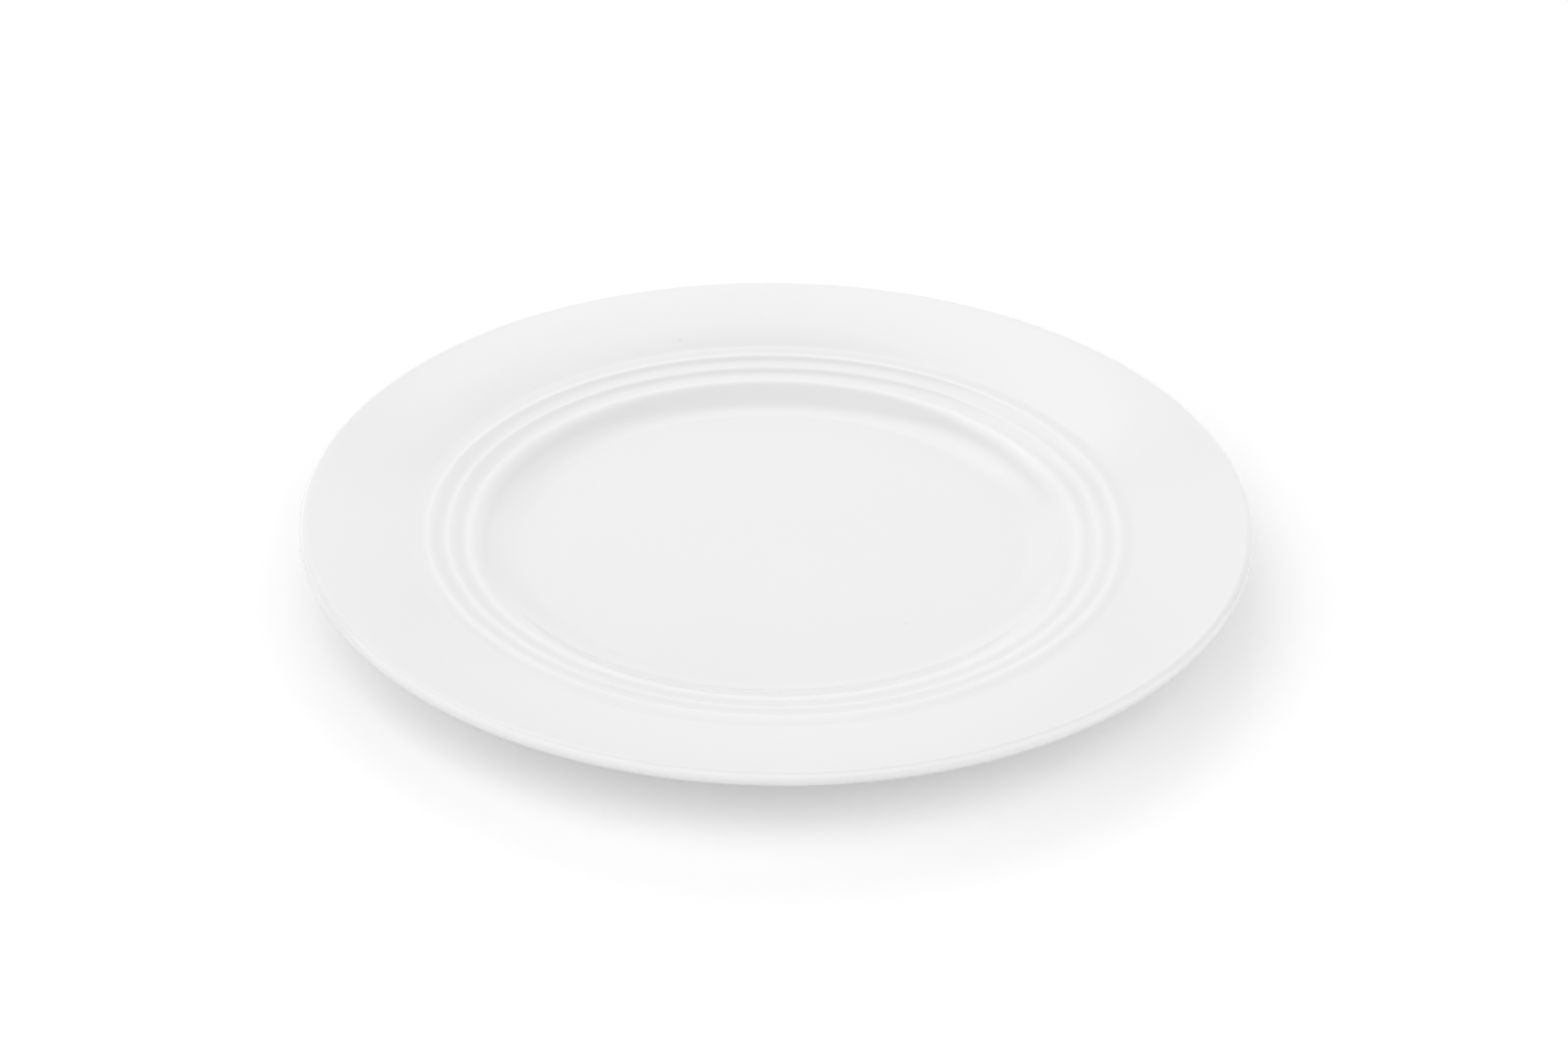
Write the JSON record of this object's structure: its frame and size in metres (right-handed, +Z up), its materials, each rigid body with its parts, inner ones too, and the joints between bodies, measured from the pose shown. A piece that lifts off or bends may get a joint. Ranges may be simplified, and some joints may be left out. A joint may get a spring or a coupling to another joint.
{
  "type": "rimmed saucer",
  "caption": "Round white porcelain saucer with a wide sloped rim, fine raised ridges round a flat well, and a bare foot ring underneath.",
  "frame": {"origin": "on the table, at the middle of the foot ring's resting face", "axes": "+Z up, along the axis that the plate is turned about; X and Y lie in the table, and the plate is the same all the way round"},
  "size_m": [0.17, 0.17, 0.014],
  "materials": {
    "biscuit": "matte",
    "glaze": "gloss"
  },
  "bodies": {
    "root": {"porcelain_body": "biscuit", "face_glaze": "glaze", "base_glaze": "glaze"}
  },
  "joints": []
}
